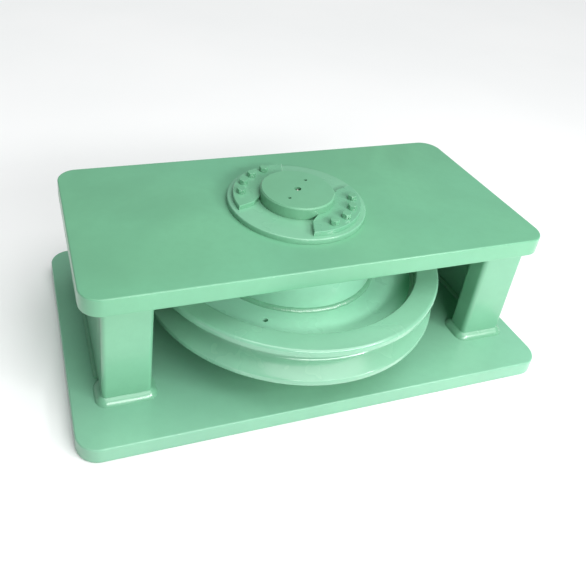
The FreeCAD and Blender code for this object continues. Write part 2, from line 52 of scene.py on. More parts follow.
# ===================================================================== mesh kit
def finish_mesh(name, verts, faces, body, nodes, material, sharp=32.0, flat=False):
    """One closed mesh piece that rides on a body and stands for CAD nodes."""
    me = bpy.data.meshes.new(name)
    me.from_pydata([tuple(v) for v in verts], [], faces)
    me.validate(verbose=False)
    bm = bmesh.new()
    bm.from_mesh(me)
    bmesh.ops.remove_doubles(bm, verts=bm.verts, dist=1e-7)
    bmesh.ops.recalc_face_normals(bm, faces=bm.faces)
    for f in bm.faces:
        f.smooth = not flat
    bm.to_mesh(me)
    bm.free()
    me.set_sharp_from_angle(angle=math.radians(sharp))
    ob = bpy.data.objects.new(name, me)
    bpy.context.scene.collection.objects.link(ob)
    me.materials.append(material)
    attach(ob, body)
    if nodes:
        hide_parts(*nodes)
    return ob


def grid_faces(nu, nv, wrap_u=True, wrap_v=True, base=0):
    """Quads of a grid with nu columns of nv points; index = base + u*nv + v."""
    faces = []
    for u in range(nu if wrap_u else nu - 1):
        u2 = (u + 1) % nu
        for v in range(nv if wrap_v else nv - 1):
            v2 = (v + 1) % nv
            faces.append((base + u * nv + v, base + u2 * nv + v, base + u2 * nv + v2, base + u * nv + v2))
    return faces


def lathe(profile, n, wobble=None):
    """Closed (r, z) outline, in mm, turned about Z."""
    verts = []
    for i in range(n):
        a = TAU * i / n
        c, s = math.cos(a), math.sin(a)
        for k, (r, z) in enumerate(profile):
            dr, dz = wobble(a, r, z) if wobble else (0.0, 0.0)
            verts.append(((r + dr) * c * MM, (r + dr) * s * MM, (z + dz) * MM))
    return verts, grid_faces(n, len(profile))


def fine(points, radii, step=1.2, longest=9.0):
    """Rounds the corners of a closed outline and divides its runs.
    radii: one number per corner, 0 leaves it sharp."""
    out = []
    n = len(points)
    for i in range(n):
        p0, p1, p2 = Vector(points[i - 1]), Vector(points[i]), Vector(points[(i + 1) % n])
        r = radii[i]
        a, b = (p0 - p1), (p2 - p1)
        la, lb = a.length, b.length
        if r <= 0 or la < 1e-9 or lb < 1e-9:
            out.append(p1)
            continue
        a.normalize()
        b.normalize()
        ang = a.angle(b)
        if ang > math.pi - 1e-3:
            out.append(p1)
            continue
        t = min(r / math.tan(ang / 2), 0.499 * la, 0.499 * lb)
        r = t * math.tan(ang / 2)
        bis = (a + b).normalized()
        centre = p1 + bis * (r / math.sin(ang / 2))
        s, e = p1 + a * t, p1 + b * t
        v0, v1 = s - centre, e - centre
        sweep = v0.angle(v1)
        m = max(4, int(sweep * r / step) + 1)
        m = min(m, 12)
        cross = v0.x * v1.y - v0.y * v1.x
        for j in range(m + 1):
            th = sweep * j / m * (1 if cross > 0 else -1)
            c_, s_ = math.cos(th), math.sin(th)
            out.append(centre + Vector((v0.x * c_ - v0.y * s_, v0.x * s_ + v0.y * c_)))
    full = []
    for i, p in enumerate(out):
        q = out[(i + 1) % len(out)]
        full.append(p)
        d = (q - p).length
        k = int(d / longest)
        for j in range(1, k + 1):
            full.append(p + (q - p) * (j / (k + 1)))
    return [(p.x, p.y) for p in full]


def rounded_rect(w, d, r, per_corner=14, per_side=(30, 16)):
    """(unit centre-of-corner, direction) pairs, so that inner offsets keep the topology.
    Returns a list of (cx, cy, dx, dy, r): point at inset i = c + dir * (r - i)."""
    pts = []
    hw, hd = w / 2, d / 2
    corners = [(hw - r, hd - r, 0), (-hw + r, hd - r, 90), (-hw + r, -hd + r, 180), (hw - r, -hd + r, 270)]
    for k, (cx, cy, a0) in enumerate(corners):
        for j in range(per_corner + 1):
            a = math.radians(a0 + 90 * j / per_corner)
            pts.append((cx, cy, math.cos(a), math.sin(a), r))
        nx, ny, _ = corners[(k + 1) % 4]
        a = math.radians(a0 + 90)
        m = per_side[0] if k % 2 == 0 else per_side[1]
        for j in range(1, m):
            t = j / m
            pts.append((cx + (nx - cx) * t, cy + (ny - cy) * t, math.cos(a), math.sin(a), r))
    return pts


def soft_noise(x, y, z, seed):
    return noise.noise(Vector((x + seed * 17.3, y - seed * 5.1, z + seed * 3.7)))


# ================================================================== node helpers
def nd(nt, kind, x=0, y=0, **vals):
    n = nt.nodes.new(kind)
    n.location = (x, y)
    for k, v in vals.items():
        if k in n.inputs:
            n.inputs[k].default_value = v
        else:
            setattr(n, k, v)
    return n


def new_mat(name):
    m = bpy.data.materials.new(name)
    m.use_nodes = True
    nt = m.node_tree
    nt.nodes.clear()
    out = nd(nt, "ShaderNodeOutputMaterial", 900, 0)
    bsdf = nd(nt, "ShaderNodeBsdfPrincipled", 600, 0)
    nt.links.new(bsdf.outputs[0], out.inputs[0])
    return m, nt, bsdf


def math_node(nt, op, a, b=None, clamp=False):
    n = nt.nodes.new("ShaderNodeMath")
    n.operation = op
    n.use_clamp = clamp
    for i, v in enumerate((a, b)):
        if v is None:
            continue
        if isinstance(v, (int, float)):
            n.inputs[i].default_value = v
        else:
            nt.links.new(v, n.inputs[i])
    return n.outputs[0]


def mix_rgb(nt, fac, a, b, mode="MIX"):
    n = nt.nodes.new("ShaderNodeMix")
    n.data_type = "RGBA"
    n.blend_type = mode
    for sock, v in ((n.inputs[0], fac), (n.inputs[6], a), (n.inputs[7], b)):
        if isinstance(v, (int, float)):
            sock.default_value = v
        elif isinstance(v, tuple):
            sock.default_value = v
        else:
            nt.links.new(v, sock)
    return n.outputs[2]


def ramp(nt, src, lo, hi, a=0.0, b=1.0):
    n = nt.nodes.new("ShaderNodeMapRange")
    n.inputs[1].default_value, n.inputs[2].default_value = lo, hi
    n.inputs[3].default_value, n.inputs[4].default_value = a, b
    n.clamp = True
    n.interpolation_type = "SMOOTHSTEP"
    nt.links.new(src, n.inputs[0])
    return n.outputs[0]


def noise_tex(nt, vec, scale, detail=3.0, rough=0.5, distort=0.0):
    n = nt.nodes.new("ShaderNodeTexNoise")
    n.inputs["Scale"].default_value = scale
    n.inputs["Detail"].default_value = detail
    n.inputs["Roughness"].default_value = rough
    n.inputs["Distortion"].default_value = distort
    nt.links.new(vec, n.inputs["Vector"])
    return n.outputs["Fac"]


def bump(nt, height, strength, distance, normal=None):
    n = nt.nodes.new("ShaderNodeBump")
    n.inputs["Strength"].default_value = strength
    n.inputs["Distance"].default_value = distance
    nt.links.new(height, n.inputs["Height"])
    if normal is not None:
        nt.links.new(normal, n.inputs["Normal"])
    return n.outputs["Normal"]


GREEN = (0.160, 0.430, 0.250, 1.0)


def paint(name, seed=0.0, peel=0.16, wave=0.10, rough=0.30, coat=0.35, painted_light_gain=(1.0, 1.0, 1.0), edge=0.10,
          brush=0.0, corner_shade=0.25, edge_r=0.0022, coat_rough=0.10):
    """Two-coat marine enamel: orange peel, slow sags, a painted highlight along sharp edges, painted shade in the
    corners, and a per-part gain on the green that is painted light.
    """
    m, nt, b = new_mat(name)
    L = nt.links.new
    tc = nd(nt, "ShaderNodeTexCoord", -1500, 0)
    mp = nd(nt, "ShaderNodeMapping", -1300, 0)
    mp.inputs["Location"].default_value = (seed * 0.731, seed * -0.417, seed * 0.293)
    L(tc.outputs["Object"], mp.inputs["Vector"])
    vec = mp.outputs["Vector"]
    # painted light: the per-part gain scales the one green paint, standing in for how brightly each part is lit
    base = tuple(GREEN[i] * painted_light_gain[i] for i in range(3)) + (1.0,)
    pale = tuple(min(1.0, c * 1.10) for c in base[:3]) + (1.0,)
    deep = tuple(c * 0.90 for c in base[:3]) + (1.0,)
    blue = (base[0] * 0.95, base[1] * 0.99, base[2] * 1.07, 1.0)
    cloud = noise_tex(nt, vec, 3.2, 4.0, 0.55, 0.4)
    speck = noise_tex(nt, vec, 55.0, 3.0, 0.6)
    col = mix_rgb(nt, ramp(nt, cloud, 0.30, 0.70), deep, pale)
    col = mix_rgb(nt, ramp(nt, noise_tex(nt, vec, 1.4, 2.0, 0.5), 0.35, 0.75, 0.0, 0.7), col, blue)
    col = mix_rgb(nt, ramp(nt, speck, 0.35, 0.70, 0.0, 0.20), col, deep)
    # painted highlight: sharp edges are lightened to stand in for the glints they catch
    if edge > 0:
        bev = nd(nt, "ShaderNodeBevel", -900, -500, samples=4)
        bev.inputs["Radius"].default_value = edge_r
        geo = nd(nt, "ShaderNodeNewGeometry", -900, -700)
        dot = nt.nodes.new("ShaderNodeVectorMath")
        dot.operation = "DOT_PRODUCT"
        L(bev.outputs["Normal"], dot.inputs[0])
        L(geo.outputs["Normal"], dot.inputs[1])
        edge_highlight = ramp(nt, dot.outputs["Value"], 0.995, 0.80, 0.0, edge)
        light = tuple(min(1.0, c * 1.45 + 0.02) for c in base[:3]) + (1.0,)
        col = mix_rgb(nt, edge_highlight, col, light)
    # painted shade: ambient occlusion darkens the green in corners and recesses, where shade falls
    if corner_shade > 0:
        ao = nd(nt, "ShaderNodeAmbientOcclusion", -900, -900, samples=6)
        ao.inputs["Distance"].default_value = 0.018
        grease_and_corner_shade = ramp(nt, ao.outputs["AO"], 0.75, 0.15, 0.0, corner_shade)
        col = mix_rgb(nt, grease_and_corner_shade, col, (base[0] * 0.40, base[1] * 0.50, base[2] * 0.42, 1.0))
    L(col, b.inputs["Base Color"])
    r1 = ramp(nt, noise_tex(nt, vec, 9.0, 3.0, 0.6), 0.3, 0.7, rough - 0.045, rough + 0.055)
    L(r1, b.inputs["Roughness"])
    b.inputs["Specular IOR Level"].default_value = 0.5
    b.inputs["Coat Weight"].default_value = coat
    b.inputs["Coat Roughness"].default_value = coat_rough
    b.inputs["Coat IOR"].default_value = 1.5
    fine_h = noise_tex(nt, vec, 430.0, 2.0, 0.5)
    mid_h = noise_tex(nt, vec, 120.0, 2.0, 0.5)
    slow_h = noise_tex(nt, vec, 11.0, 2.0, 0.5, 0.3)
    n1 = bump(nt, slow_h, wave, 0.004)
    n2 = bump(nt, mid_h, peel, 0.0006, n1)
    n3 = bump(nt, fine_h, peel, 0.00022, n2)
    if brush > 0:
        st = nd(nt, "ShaderNodeMapping", -1300, -300)
        st.inputs["Scale"].default_value = (8.0, 8.0, 260.0)
        L(tc.outputs["Object"], st.inputs["Vector"])
        n3 = bump(nt, noise_tex(nt, st.outputs["Vector"], 3.0, 2.0, 0.5), brush, 0.0004, n3)
    L(n3, b.inputs["Normal"])
    L(n3, b.inputs["Coat Normal"])
    return m


def turned_metal(name, color, rough=0.32, rings=900.0, seed=0.0, grease_and_corner_shade=(0.10, 0.07, 0.03)):
    """Machined bearing metal with fine turning marks and a thin film of old grease."""
    m, nt, b = new_mat(name)
    L = nt.links.new
    tc = nd(nt, "ShaderNodeTexCoord", -1500, 0)
    sep = nd(nt, "ShaderNodeSeparateXYZ", -1300, 0)
    L(tc.outputs["Object"], sep.inputs[0])
    x2 = math_node(nt, "MULTIPLY", sep.outputs[0], sep.outputs[0])
    y2 = math_node(nt, "MULTIPLY", sep.outputs[1], sep.outputs[1])
    rad = math_node(nt, "SQRT", math_node(nt, "ADD", x2, y2))
    s = math_node(nt, "ADD", rad, sep.outputs[2])
    ridge = math_node(nt, "SINE", math_node(nt, "MULTIPLY", s, rings * TAU))
    cloud = noise_tex(nt, tc.outputs["Object"], 30.0, 4.0, 0.6)
    col = mix_rgb(nt, ramp(nt, cloud, 0.35, 0.75, 0.0, 0.6), color + (1.0,), grease_and_corner_shade + (1.0,))
    L(col, b.inputs["Base Color"])
    b.inputs["Metallic"].default_value = 1.0
    L(ramp(nt, cloud, 0.3, 0.8, rough, rough + 0.25), b.inputs["Roughness"])
    L(bump(nt, ridge, 0.15, 0.00015), b.inputs["Normal"])
    return m


def rubber(name):
    m, nt, b = new_mat(name)
    L = nt.links.new
    tc = nd(nt, "ShaderNodeTexCoord", -1500, 0)
    vec = tc.outputs["Object"]
    cloud = noise_tex(nt, vec, 60.0, 3.0, 0.6)
    L(mix_rgb(nt, ramp(nt, cloud, 0.35, 0.75), (0.012, 0.012, 0.013, 1), (0.035, 0.036, 0.036, 1)), b.inputs["Base Color"])
    L(ramp(nt, cloud, 0.3, 0.7, 0.50, 0.72), b.inputs["Roughness"])
    L(bump(nt, noise_tex(nt, vec, 900.0, 2.0, 0.5), 0.25, 0.0001), b.inputs["Normal"])
    return m


def zinc(name):
    m, nt, b = new_mat(name)
    L = nt.links.new
    tc = nd(nt, "ShaderNodeTexCoord", -1500, 0)
    vec = tc.outputs["Object"]
    cloud = noise_tex(nt, vec, 240.0, 3.0, 0.6)
    L(mix_rgb(nt, ramp(nt, cloud, 0.3, 0.75), (0.52, 0.50, 0.44, 1), (0.34, 0.35, 0.33, 1)), b.inputs["Base Color"])
    b.inputs["Metallic"].default_value = 1.0
    L(ramp(nt, cloud, 0.3, 0.7, 0.28, 0.46), b.inputs["Roughness"])
    L(bump(nt, noise_tex(nt, vec, 2200.0, 2.0, 0.5), 0.2, 0.00005), b.inputs["Normal"])
    return m


# painted light: the whole fairlead wears one green paint; the per-part gains scale it to stand in for how brightly each
# part is lit, most for the hub and web in the shade under the top plate; the corner setting is painted shade
MAT = {
    "plate_top": paint("enamel_top_plate", 1.0, wave=0.04, rough=0.33, coat=0.25),
    "plate_base": paint("enamel_base_plate", 2.0, wave=0.04, rough=0.33, coat=0.25, painted_light_gain=(1.32, 1.10, 1.24)),
    "post": paint("enamel_posts", 3.0, wave=0.04, rough=0.32, painted_light_gain=(1.12, 1.03, 1.09), corner_shade=0.05),
    "sheave": paint("enamel_sheave", 4.0, wave=0.0, rough=0.24, coat=0.6, painted_light_gain=(1.32, 1.10, 1.24)),
    "dish": paint("enamel_dish", 5.0, wave=0.05, rough=0.30, painted_light_gain=(1.95, 1.50, 1.80)),
    "boss": paint("enamel_boss", 6.0, wave=0.04, rough=0.28, coat=0.45, painted_light_gain=(1.22, 1.08, 1.18)),
    "pin": paint("enamel_pin", 7.0, wave=0.05, rough=0.34, coat=0.25, painted_light_gain=(1.04, 0.98, 0.98)),
    "keeper": paint("enamel_keepers", 8.0, wave=0.04, rough=0.26, coat=0.6, edge_r=0.0015, painted_light_gain=(1.06, 1.02, 1.05)),
    "bolt": paint("enamel_bolts", 9.0, wave=0.0, rough=0.26, coat=0.6, peel=0.10, edge_r=0.001),
    "weld": paint("enamel_welds", 10.0, wave=0.0, rough=0.30, coat=1.0, peel=0.02, edge=0.0, painted_light_gain=(1.12, 1.04, 1.08), corner_shade=0.12,
                  coat_rough=0.24),
    "seam": paint("enamel_side_seams", 11.0, wave=0.0, rough=0.36, coat=0.2, peel=0.06, edge=0.0),
    "bronze": turned_metal("bearing_bronze", (0.52, 0.33, 0.13)),
    "rubber": rubber("seal_rubber"),
    "zinc": zinc("zinc_plate"),
}


# ======================================================================= plates
def plate_piece(name, node, length, width, z0, z1, corner, edge, bore, mat, seed, bore_edge=0.8):
    """Flame-cut plate with rounded corners and edges and a bore; its faces are out of flat by tenths of a millimetre."""
    outer = rounded_rect(length, width, corner, 18, (110, 46))
    n = len(outer)

    def at(i, inset):
        cx, cy, dx, dy, r = outer[i]
        return cx + dx * (r - inset), cy + dy * (r - inset)

    rows = []
    steps = 8
    spread = [0.0, 0.03, 0.08, 0.16, 0.27, 0.40, 0.54, 0.68, 0.80, 0.89, 0.95, 0.985]

    def face_ring(t, z, up):
        row = []
        for i in range(n):
            ox, oy = at(i, edge)
            a = math.atan2(oy, ox)
            bx, by = (bore + bore_edge) * math.cos(a), (bore + bore_edge) * math.sin(a)
            x, y = bx + (ox - bx) * t, by + (oy - by) * t
            fall = min(1.0, t * 6) * min(1.0, (1 - t) * 9)
            dz = 0.30 * soft_noise(x / 150, y / 150, 0, seed + up) * fall
            row.append((x, y, z + dz))
        return row

    # bore wall, top face out to the edge, rounded edge, side, rounded edge, underside, back to the bore
    ang = [math.atan2(at(i, edge)[1], at(i, edge)[0]) for i in range(n)]
    rows.append([(bore * math.cos(a), bore * math.sin(a), z0 + bore_edge) for a in ang])
    rows.append([(bore * math.cos(a), bore * math.sin(a), z1 - bore_edge) for a in ang])
    for t in spread:
        rows.append(face_ring(t, z1, 1))
    for j in range(steps + 1):
        a = math.pi / 2 * j / steps
        row = []
        for i in range(n):
            x, y = at(i, edge - edge * math.sin(a))
            row.append((x, y, z1 - edge + edge * math.cos(a)))
        rows.append(row)
    for k in (0.33, 0.66):
        z = z1 - edge + (z0 + edge - z1 + edge) * k
        row = []
        for i in range(n):
            x, y = at(i, 0.0)
            cx, cy, dx, dy, r = outer[i]
            w = 0.25 * soft_noise(x / 60, y / 60, z / 20, seed + 5)
            row.append((x - dx * abs(w), y - dy * abs(w), z))
        rows.append(row)
    for j in range(steps + 1):
        a = math.pi / 2 * j / steps
        row = []
        for i in range(n):
            x, y = at(i, edge - edge * math.cos(a))
            row.append((x, y, z0 + edge - edge * math.sin(a)))
        rows.append(row)
    for t in reversed(spread):
        rows.append(face_ring(t, z0, -1) if z0 > 1 else [(p[0], p[1], z0) for p in face_ring(t, z0, -1)])
    m = len(rows)
    verts = [tuple(c * MM for c in rows[j][i]) for i in range(n) for j in range(m)]
    return finish_mesh(name, verts, grid_faces(n, m), "frame", [node], mat, 40)


plate_piece("base_plate_painted", "base_plate", 1040, 624, 0, 35, 46, 3, 108.05, MAT["plate_base"], 1)
plate_piece("top_plate_painted", "top_plate", 1000, 466, 281, 321, 44, 3, 108.05, MAT["plate_top"], 2)


# ======================================================================== posts
def post_piece(name, node, cx, cy, seed):
    """Rectangular hollow section 100 x 50 x 8 with rolled corners."""
    z0, z1 = 35.0, 281.0
    outer = rounded_rect(100, 50, 10, 12, (10, 5))
    inner = rounded_rect(84, 34, 5, 12, (10, 5))
    n = len(outer)
    zs = [z0 + (z1 - z0) * k / 24 for k in range(25)]
    rows = []
    for z in zs:
        row = []
        for i in range(n):
            ox, oy, dx, dy, r = outer[i]
            x, y = ox + dx * r, oy + dy * r
            belly = 0.35 * math.sin(math.pi * (z - z0) / (z1 - z0))
            w = 0.22 * soft_noise(x / 40, y / 40, z / 70, seed) - belly * 0.3
            row.append((cx + x + dx * w, cy + y + dy * w, z))
        rows.append(row)
    for z in (z1, z0):
        rows.append([(cx + p[0] + p[2] * p[4], cy + p[1] + p[3] * p[4], z) for p in inner])
    m = len(rows)
    verts = [tuple(c * MM for c in rows[j][i]) for i in range(n) for j in range(m)]
    return finish_mesh(name, verts, grid_faces(n, m), "frame", [node], MAT["post"], 40)


POSTS = {}
for i, nm in enumerate(("post_front_left", "post_front_right", "post_rear_left", "post_rear_right")):
    lo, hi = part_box(nm)
    px, py = (lo.x + hi.x) / 2 / MM, (lo.y + hi.y) / 2 / MM
    POSTS[nm] = (px, py)
    post_piece(nm + "_section", nm, px, py, 20 + i)


# ================================================================= side plates
def side_piece(name, node, seed):
    """Flame-cut side plate: snipped corners, edges broken by hand, faces a little out of flat."""
    lo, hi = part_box(node)
    x0, x1, y0, y1, z0, z1 = (c / MM for c in (lo.x, hi.x, lo.y, hi.y, lo.z, hi.z))
    snip, e = 15.0, 1.2
    prof = fine([(y0 + snip, z0), (y1 - snip, z0), (y1, z0 + snip), (y1, z1 - snip), (y1 - snip, z1),
                 (y0 + snip, z1), (y0, z1 - snip), (y0, z0 + snip)], [1.0] * 8, step=0.6, longest=7.0)
    cy, cz = (y0 + y1) / 2, (z0 + z1) / 2
    rows = []

    def ring(scale_mm, x, wave):
        row = []
        for y, z in prof:
            dy, dz = y - cy, z - cz
            d = math.hypot(dy, dz)
            k = max(0.0, 1 - scale_mm / d)
            yy, zz = cy + dy * k, cz + dz * k
            row.append((x + wave * 0.3 * soft_noise(yy / 90, zz / 90, 0, seed), yy, zz))
        return row

    insets = [140, 110, 80, 50, 26, 12, 5]
    for i in insets:
        rows.append(ring(i, x0, 1))
    for j in range(5):
        a = math.pi / 2 * j / 4
        rows.append(ring(e - e * math.sin(a), x0 + e - e * math.cos(a), 0))
    for j in range(5):
        a = math.pi / 2 * j / 4
        rows.append(ring(e - e * math.cos(a), x1 - e + e * math.sin(a), 0))
    for i in reversed(insets):
        rows.append(ring(i, x1, 1))
    n, m = len(prof), len(rows)
    verts = [tuple(c * MM for c in rows[j][i]) for i in range(n) for j in range(m)]
    k = len(verts)
    verts += [(x0 * MM, cy * MM, cz * MM), (x1 * MM, cy * MM, cz * MM)]
    faces = grid_faces(n, m, True, False)
    for i in range(n):
        i2 = (i + 1) % n
        faces.append((i * m, i2 * m, k))
        faces.append((i2 * m + m - 1, i * m + m - 1, k + 1))
    return finish_mesh(name, verts, faces, "frame", [node], MAT["post"], 40)


side_piece("side_plate_left_cut", "side_plate_left", 26)
side_piece("side_plate_right_cut", "side_plate_right", 27)


# ======================================================================== welds
def bead_rows(path, leg_a, leg_b, seed, pitch=5.2, ripple=0.42, crown=0.22, across=11, close=True, face=None,
              wander=0.085, turns=3.0):
    """A fillet bead.  path: points with two unit directions (along the plate, up the wall), all in mm.
    Each ripple is a crescent; the toes wander a little.  An open bead is rounded off at its two ends."""
    n = len(path)
    s = 0.0
    verts = []
    total = sum((Vector(path[i][0]) - Vector(path[(i + 1) % n][0])).length for i in range(n if close else n - 1))
    count = max(8, round(total / pitch))
    rnd = random.Random(seed)
    heights = [rnd.uniform(0.55, 1.25) for _ in range(count)]
    shifts = [rnd.uniform(-0.5, 0.5) for _ in range(count)]
    for i in range(n):
        p, a, b = (Vector(q) for q in path[i])
        q = Vector(path[(i + 1) % n][0])
        turn = s / total * TAU
        wa = 1 + wander * soft_noise(4.1 * math.cos(turn) * turns, 4.1 * math.sin(turn) * turns, 0, seed)
        wb = 1 + wander * soft_noise(4.1 * math.cos(turn) * turns, 4.1 * math.sin(turn) * turns, 5, seed + 1)
        la, lb = leg_a * wa, leg_b * wb
        if not close:
            tip = max(0.0, min(1.0, (min(s, total - s) + 0.3) / leg_a))
            tip = math.sqrt(1 - (1 - tip) ** 2)
            la, lb = la * tip, lb * tip
        row = []
        for k in range(across):
            u = k / (across - 1)
            e = a * (la * (1 - u)) + b * (lb * u)
            out = Vector(face) if face else (a * lb + b * la).normalized()
            dome = crown * (la + lb) / 2 * (1 - (2 * u - 1) ** 2)
            ph = s / total * count - 0.55 * (1 - (2 * u - 1) ** 2) + 0.03 * math.sin(9 * u + s)
            cell = int(math.floor(ph)) % count
            f = ph - math.floor(ph)
            lobe = math.sin(math.pi * min(1.0, f * 1.15) ** 0.75) if f < 0.87 else 0.0
            taper = min(1.0, 4 * u, 4 * (1 - u))
            h = dome + ripple * (heights[cell] * lobe - 0.35) * taper * (1.0 if close else tip)
            edge_in = 0.06 * leg_a * shifts[cell] * (1 - taper) * math.sin(math.pi * f) ** 2
            row.append(p + e * (1 + edge_in / max(leg_a, 1)) + out * h)
        verts.append(row)
        s += (q - p).length
    return verts


def bead_mesh(path, leg_a, leg_b, seed, close=True, face=None, deep=0.6, **kw):
    """A bead's crowned face plus a sunk root, so that no gap shows; a ring, or a run with two capped ends."""
    rows = bead_rows(path, leg_a, leg_b, seed, close=close, face=face, **kw)
    verts, nv = [], len(rows[0]) + 1
    for (p, a, b), row in zip(path, rows):
        p, a, b = Vector(p), Vector(a), Vector(b)
        if face:
            sink = Vector(face) * deep
            root, first, last = p - sink, row[0] - Vector(face) * 0.3, row[-1] - Vector(face) * 0.3
        else:
            root, first, last = p - a * deep - b * deep, row[0] - b * 0.25, row[-1] - a * 0.25
        pts = [first] + row[1:-1] + [last] + [root]
        verts.extend(tuple(c * MM for c in q) for q in pts)
    faces = grid_faces(len(rows), nv, wrap_u=close)
    if not close:
        faces.append(tuple(range(nv)))
        faces.append(tuple(range((len(rows) - 1) * nv, len(rows) * nv))[::-1])
    return verts, faces


def straight_path(start, stop, a, b, step=0.9):
    p, q = Vector(start), Vector(stop)
    n = max(8, int((q - p).length / step))
    return [(tuple(p + (q - p) * (i / n)), a, b) for i in range(n + 1)]


def ring_path(radius, z, outward, up, n):
    path = []
    for i in range(n):
        a = TAU * i / n
        c, s = math.cos(a), math.sin(a)
        o = 1 if outward else -1
        path.append(((radius * c, radius * s, z), (o * c, o * s, 0), (0, 0, 1 if up else -1)))
    return path


def rect_path(cx, cy, w, d, r, z, up, step=0.8):
    pts = []
    hw, hd = w / 2, d / 2
    corners = [(hw - r, hd - r, 0), (-hw + r, hd - r, 90), (-hw + r, -hd + r, 180), (hw - r, -hd + r, 270)]
    for k, (x, y, a0) in enumerate(corners):
        m = 26
        for j in range(m + 1):
            a = math.radians(a0 + 90 * j / m)
            c, s = math.cos(a), math.sin(a)
            pts.append(((cx + x + r * c, cy + y + r * s, z), (c, s, 0), (0, 0, 1 if up else -1)))
        nx, ny, _ = corners[(k + 1) % 4]
        a = math.radians(a0 + 90)
        c, s = math.cos(a), math.sin(a)
        length = math.hypot(nx - x, ny - y)
        q = int(length / step)
        for j in range(1, q):
            t = j / q
            pts.append(((cx + x + r * c + (nx - x) * t, cy + y + r * s + (ny - y) * t, z), (c, s, 0), (0, 0, 1 if up else -1)))
    return pts


def join(parts):
    verts, faces = [], []
    for v, f in parts:
        k = len(verts)
        verts.extend(v)
        faces.extend(tuple(i + k for i in q) for q in f)
    return verts, faces


WELD_LEG = 13.0
CALM = dict(pitch=9.0, ripple=0.012, crown=0.12, wander=0.03, turns=0.35)
parts = [bead_mesh(rect_path(x, y, 100, 50, 10, 35.0, True), WELD_LEG, WELD_LEG, 31 + i, **CALM)
         for i, (x, y) in enumerate(POSTS.values())]
v, f = join(parts)
finish_mesh("post_foot_beads", v, f, "frame", ["post_foot_welds"], MAT["weld"], 60)
parts = [bead_mesh(rect_path(x, y, 100, 50, 10, 281.0, False), WELD_LEG, WELD_LEG, 41 + i, **CALM)
         for i, (x, y) in enumerate(POSTS.values())]
v, f = join(parts)
finish_mesh("post_head_beads", v, f, "frame", ["post_head_welds"], MAT["weld"], 60)

# side plates: fillets inside and outside at foot and head, upright ones to the posts, filled corner grooves
SIDE_LEG = 8.0
parts, seed = [], 80
for node, out in (("side_plate_left", -1), ("side_plate_right", 1)):
    lo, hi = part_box(node)
    xo, xi = (lo.x / MM, hi.x / MM) if out < 0 else (hi.x / MM, lo.x / MM)
    y1, zl, zh = hi.y / MM, lo.z / MM, hi.z / MM
    for x, d in ((xo, out), (xi, -out)):
        for z, up in ((zl, 1), (zh, -1)):
            parts.append(bead_mesh(straight_path((x, -y1 + 16, z), (x, y1 - 16, z), (d, 0, 0), (0, 0, up)),
                                   SIDE_LEG, SIDE_LEG, seed, close=False))
            seed += 1
    for sy in (-1, 1):
        parts.append(bead_mesh(straight_path((xi, sy * y1, zl + 15), (xi, sy * y1, zh - 15), (-out, 0, 0), (0, -sy, 0)),
                               SIDE_LEG, SIDE_LEG, seed, close=False))
        parts.append(bead_mesh(straight_path((xo, sy * (y1 + 3), zl + 15), (xo, sy * (y1 + 3), zh - 15), (0, sy, 0), (0, -sy, 0)),
                               7.5, 7.0, seed + 1, close=False, face=(out, 0, 0), deep=6.0, crown=0.04, ripple=0.10))
        seed += 2
v, f = join(parts)
finish_mesh("side_plate_beads", v, f, "frame", ["side_plate_welds"], MAT["seam"], 60)

for nm, node, body, r, z, outward, up, leg, n, seed in (
        ("hub_bead_upper", "hub_weld_upper", "sheave", 190.0, 178.0, True, True, 8, 1300, 51),
        ("hub_bead_lower", "hub_weld_lower", "sheave", 190.0, 148.0, True, False, 8, 1300, 52),
        ("rim_bead_upper", "rim_weld_upper", "sheave", 288.0, 178.0, False, True, 8, 1900, 53),
        ("rim_bead_lower", "rim_weld_lower", "sheave", 288.0, 148.0, False, False, 8, 1900, 54),
        ("lower_boss_bead", "lower_boss_weld", "frame", 130.0, 35.0, True, True, 7, 900, 55),
        ("upper_boss_bead", "upper_boss_weld", "frame", 130.0, 281.0, True, False, 6, 900, 56)):
    v, f = bead_mesh(ring_path(r, z, outward, up, n), leg, leg, seed, pitch=5.0, ripple=0.34, crown=0.16, across=9)
    finish_mesh(nm, v, f, body, [node], MAT["weld"], 60)


# ======================================================================= sheave
Z0 = 163.0
RO, RI = 338.0, 288.0
# V groove: half its width at the mouth, flank angle from the mid-plane, radius at the bottom
MOUTH, FLANK, BOTTOM = 31.5, math.radians(35.32), 12.0


